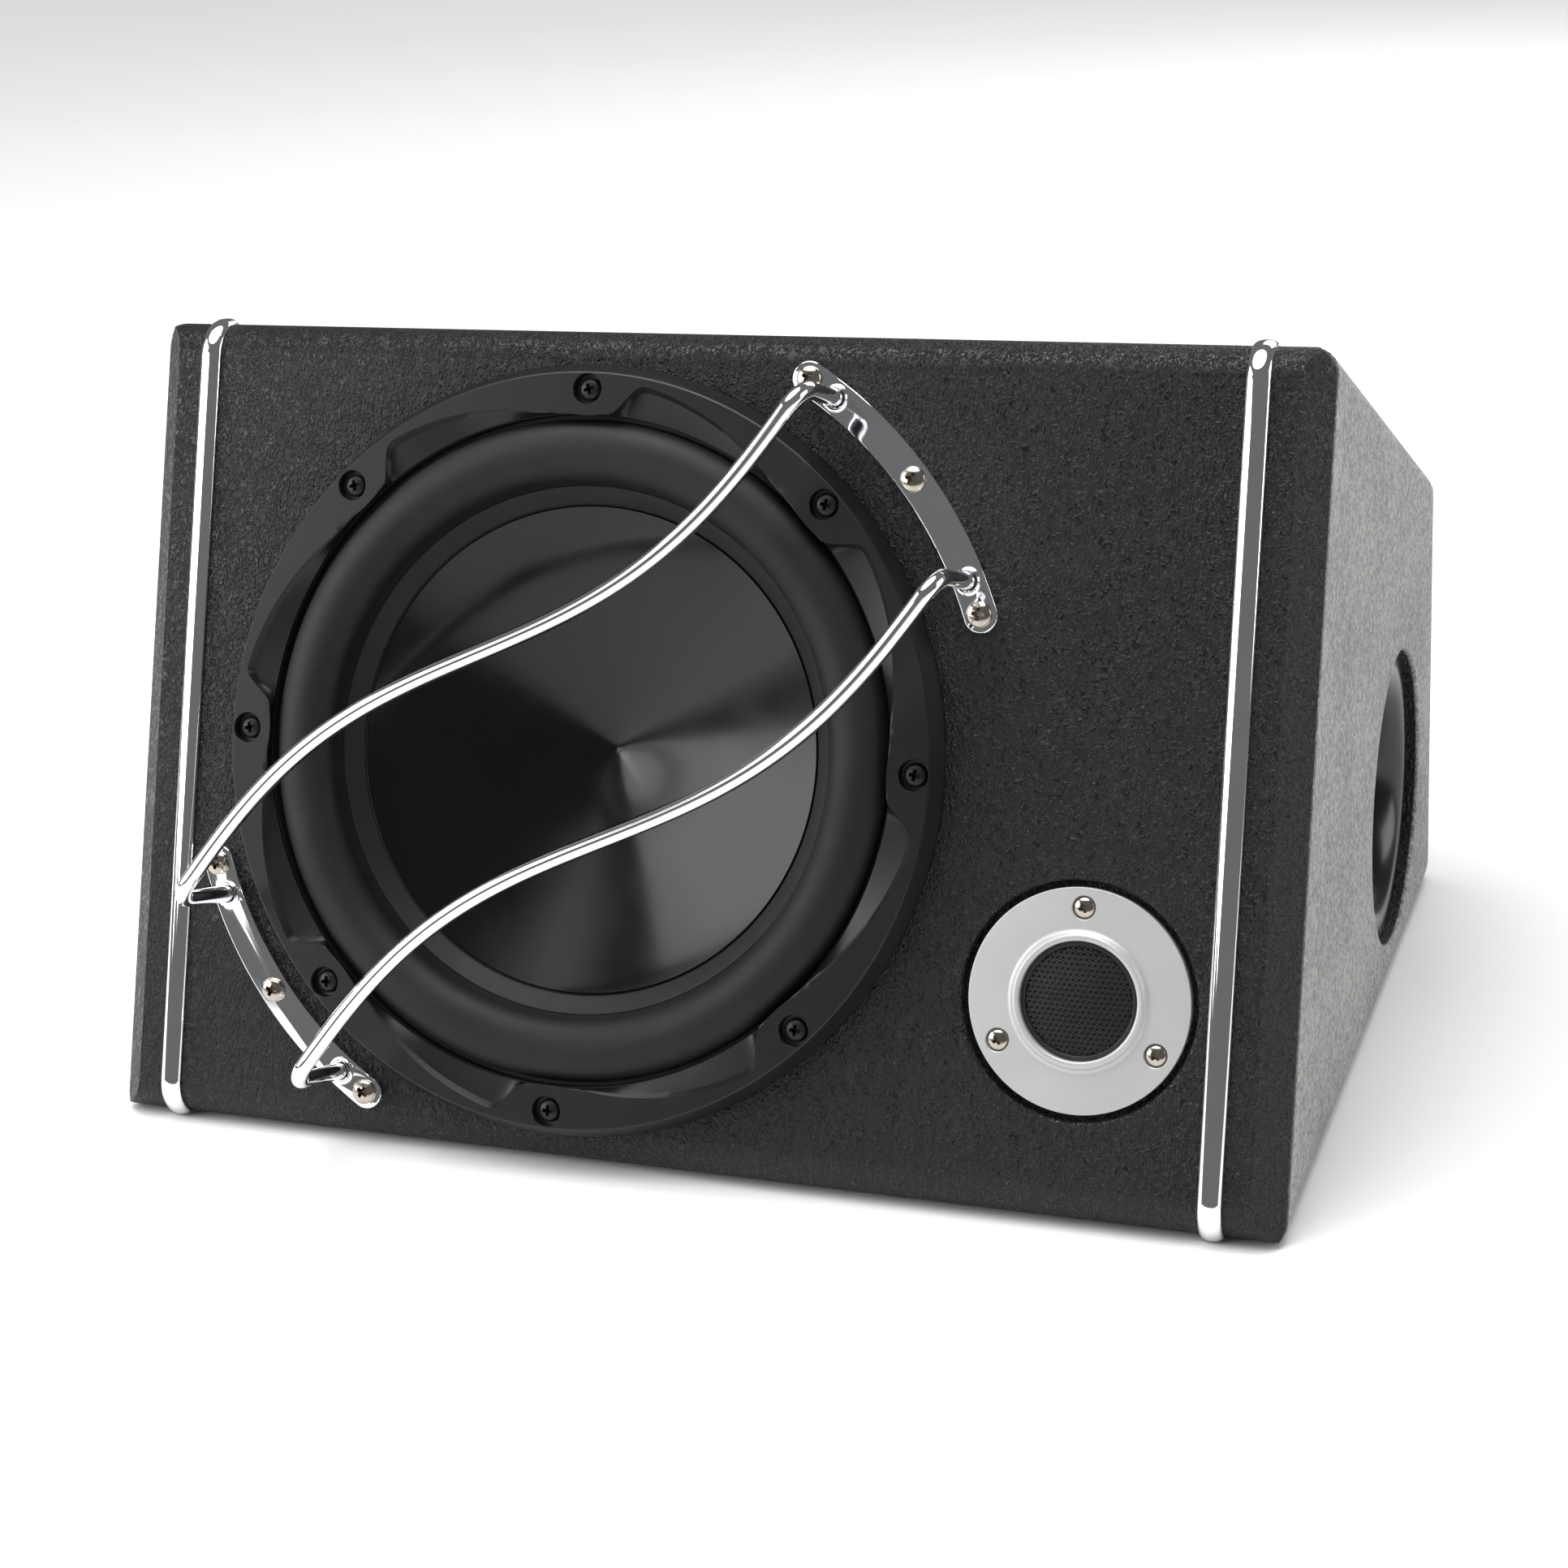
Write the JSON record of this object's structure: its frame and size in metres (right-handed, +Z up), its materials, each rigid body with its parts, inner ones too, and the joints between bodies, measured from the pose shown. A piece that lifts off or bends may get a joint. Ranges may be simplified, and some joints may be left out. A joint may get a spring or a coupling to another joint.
{
  "type": "powered car subwoofer",
  "caption": "Wedge-shaped powered car subwoofer with a guarded woofer, small tweeter, side bass port and a rear amplifier with knobs, jacks, terminals and fuse.",
  "frame": {"origin": "centre of the underside of the cabinet, on the surface it rests on", "axes": "+Z up, -Y towards the listener in front of the baffle, +X towards the side with the bass port"},
  "size_m": [0.4246, 0.3781, 0.2739],
  "materials": {
    "black_vinyl": "deep grain, semi-matt",
    "mdf": "raw board",
    "grey_carpet": "short grey pile",
    "bright_chrome": "mirror polish",
    "foam": "closed-cell foam",
    "black_steel": "satin powder coat",
    "trim_plastic": "satin moulded",
    "surround_rubber": "soft matt",
    "cone_pulp": "pressed pulp",
    "dish_gloss": "piano gloss",
    "spider_cloth": "resin-dipped weave",
    "former_film": "amber film",
    "copper": "enamelled wire",
    "zinc_steel": "zinc plated",
    "ferrite": "sintered, matt",
    "terminal_brass": "bright",
    "black_screw": "black oxide",
    "silver_paint": "satin silver paint",
    "black_mesh": "satin",
    "dome_silk": "doped silk",
    "nickel": "warm nickel",
    "film_red": "wrapped film",
    "port_gloss": "gloss moulded",
    "amp_plate": "fine texture coat",
    "black_anodised": "anodised",
    "circuit_green": "solder mask",
    "capacitor_sleeve": "shrink sleeve",
    "black_epoxy": "moulded package",
    "knob_plastic": "fine ribbed",
    "lever_white": "smooth",
    "fuse_green": "clear tinted",
    "wire_red": "insulation"
  },
  "bodies": {
    "cabinet": {"front_baffle": "black_vinyl", "base_panel": "mdf", "top_panel": "mdf", "rear_panel": "mdf", "left_panel": "mdf", "right_panel": "mdf", "base_carpet": "grey_carpet", "top_carpet": "grey_carpet", "rear_carpet": "grey_carpet", "left_carpet": "grey_carpet", "right_carpet": "grey_carpet", "left_chrome_strip": "bright_chrome", "right_chrome_strip": "bright_chrome", "upper_guard_bar": "bright_chrome", "lower_guard_bar": "bright_chrome", "right_bracket": "bright_chrome", "left_bracket": "bright_chrome", "woofer_gasket": "foam", "woofer_basket": "black_steel", "tweeter_motor": "black_steel", "woofer_trim_ring": "trim_plastic", "woofer_surround": "surround_rubber", "spider": "spider_cloth", "tinsel_leads": "copper", "board_toroid": "copper", "top_plate": "zinc_steel", "yoke": "zinc_steel", "control_pots": "zinc_steel", "phase_switch": "zinc_steel", "ring_magnet": "ferrite", "woofer_terminals": "terminal_brass", "input_jacks": "terminal_brass", "woofer_screws": "black_screw", "amp_screws": "black_screw", "tweeter_faceplate": "silver_paint", "tweeter_grille": "black_mesh", "tweeter_screws": "nickel", "bracket_screws": "nickel", "tweeter_capacitor": "film_red", "port_flare": "port_gloss", "port_tube": "port_gloss", "amp_panel": "amp_plate", "heat_sink": "black_anodised", "amp_board": "circuit_green", "board_capacitors": "capacitor_sleeve", "power_transistors": "black_epoxy", "power_block": "black_epoxy", "fuse_holder": "black_epoxy", "speaker_leads": "wire_red"},
    "cone": {"woofer_cone": "cone_pulp", "cone_edge_ring": "surround_rubber", "cone_dish": "dish_gloss", "coil_former": "former_film", "voice_coil": "copper"},
    "tweeter_diaphragm": {"tweeter_dome": "dome_silk"},
    "level_control": {"level_knob": "knob_plastic"},
    "crossover_control": {"crossover_knob": "knob_plastic"},
    "boost_control": {"boost_knob": "knob_plastic"},
    "phase_slider": {"phase_lever": "lever_white"},
    "pull_fuse": {"fuse": "fuse_green"}
  },
  "joints": [
    {"name": "cone_travel", "type": "slide", "parent": "cabinet", "child": "cone", "axis": [0, -0.9455, 0.3256], "range_m": [-0.008, 0.008], "stiffness_N_per_m": 4000, "deforming": ["woofer_surround", "spider", "tinsel_leads"]},
    {"name": "dome_travel", "type": "slide", "parent": "cabinet", "child": "tweeter_diaphragm", "axis": [0, -0.9455, 0.3256], "range_m": [-0.0003, 0.0003], "stiffness_N_per_m": 1500},
    {"name": "level_turn", "type": "hinge", "parent": "cabinet", "child": "level_control", "pos_m": [-0.092, 0.172, 0.1205], "axis": [0, 1, 0], "range_deg": [-140, 140]},
    {"name": "crossover_turn", "type": "hinge", "parent": "cabinet", "child": "crossover_control", "pos_m": [-0.12, 0.172, 0.1205], "axis": [0, 1, 0], "range_deg": [-140, 140]},
    {"name": "boost_turn", "type": "hinge", "parent": "cabinet", "child": "boost_control", "pos_m": [-0.148, 0.172, 0.1205], "axis": [0, 1, 0], "range_deg": [-140, 140]},
    {"name": "phase_slide", "type": "slide", "parent": "cabinet", "child": "phase_slider", "axis": [-1, 0, 0], "range_m": [0, 0.004]},
    {"name": "fuse_pull", "type": "slide", "parent": "cabinet", "child": "pull_fuse", "axis": [0, 1, 0], "range_m": [0, 0.014]}
  ]
}
